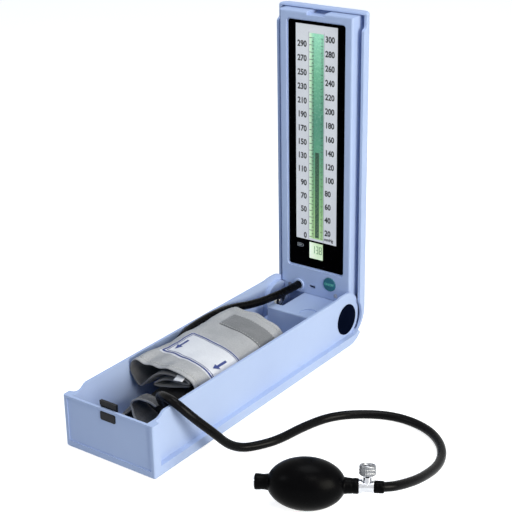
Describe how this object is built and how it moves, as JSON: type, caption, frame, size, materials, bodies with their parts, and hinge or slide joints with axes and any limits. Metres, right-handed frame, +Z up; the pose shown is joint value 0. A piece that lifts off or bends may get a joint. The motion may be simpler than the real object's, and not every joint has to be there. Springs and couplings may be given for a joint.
{
  "type": "desk blood pressure meter",
  "caption": "Desk blood-pressure meter: a pale blue tray with a hinged upright lid that holds a column display, a folded arm cuff, two hoses and a hand bulb.",
  "frame": {"origin": "centre of the tray's flat underside on the standing surface", "axes": "+X across the tray to the side with the bulb, -Y towards the tray's front and the latch, +Z up"},
  "size_m": [0.2907, 0.335, 0.3308],
  "materials": {
    "case_plastic": "satin",
    "black_plastic": "satin",
    "window_clear": "satin",
    "mask_black": "satin",
    "scale_grey": "satin",
    "lcd_green": "plain",
    "light_guide": "satin",
    "board_green": "satin",
    "steel": "brushed",
    "chrome": "polished",
    "nylon_white": "satin",
    "black_rubber": "plain",
    "cuff_cloth": "plain",
    "strap_cloth": "plain",
    "tail_cloth": "plain",
    "label_print": "plain",
    "button_teal": "satin",
    "battery_jacket": "plain",
    "tube_clear": "plain"
  },
  "bodies": {
    "base": {"base_tray": "case_plastic", "rear_cover": "case_plastic", "tray_screws": "steel", "battery_holder": "black_plastic", "batteries": "battery_jacket", "battery_contacts": "steel", "hinge_pins": "steel", "hinge_caps": "black_plastic", "friction_washers": "nylon_white", "latch_bracket": "case_plastic", "latch_spring": "steel", "rubber_feet": "black_rubber", "cuff": "cuff_cloth", "inner_bag": "black_rubber", "cuff_strap": "strap_cloth", "cuff_label": "label_print", "cuff_tail": "tail_cloth", "lid_hose": "black_rubber", "bulb_hose": "black_rubber", "bulb": "black_rubber", "check_valve": "chrome", "valve_body": "chrome"},
    "lid": {"lid_shell": "case_plastic", "display_housing": "case_plastic", "display_window": "window_clear", "display_mask": "mask_black", "scale_plate": "scale_grey", "lcd_column": "lcd_green", "lcd_readout": "lcd_green", "backlight": "light_guide", "main_board": "board_green", "switch_board": "board_green", "pressure_sensor": "black_plastic", "sensor_tube": "tube_clear", "hose_port": "black_plastic", "hinge_yoke": "steel", "hinge_screws": "steel", "lid_screws": "steel"},
    "latch": {"latch_button": "black_plastic"},
    "power_button": {"power_button": "button_teal"},
    "valve_knob": {"valve_knob": "chrome"},
    "battery_cover": {"battery_cover": "case_plastic"}
  },
  "joints": [
    {"name": "lid_hinge", "type": "hinge", "parent": "base", "child": "lid", "pos_m": [0, 0.151, 0.0288], "axis": [1, 0, 0], "range_deg": [0, 90], "deforming": ["cuff", "cuff_strap", "cuff_label", "lid_hose", "bulb_hose"]},
    {"name": "latch_slide", "type": "slide", "parent": "base", "child": "latch", "axis": [0, 1, 0], "range_m": [0, 0.0012], "stiffness_N_per_m": 800, "springref_m": -0.0008, "deforming": ["latch_spring"]},
    {"name": "power_button_press", "type": "slide", "parent": "lid", "child": "power_button", "axis": [0, 1, 0], "range_m": [0, 0.0008], "stiffness_N_per_m": 1500, "springref_m": -0.0006},
    {"name": "valve_knob_turn", "type": "hinge", "parent": "base", "child": "valve_knob", "pos_m": [0.21544, -0.08799, 0.0216], "axis": [-0.1526, 0.2687, 0.9511], "range_deg": [0, 540]},
    {"name": "battery_cover_slide", "type": "slide", "parent": "base", "child": "battery_cover", "axis": [0, -1, 0], "range_m": [0, 0.006]}
  ]
}
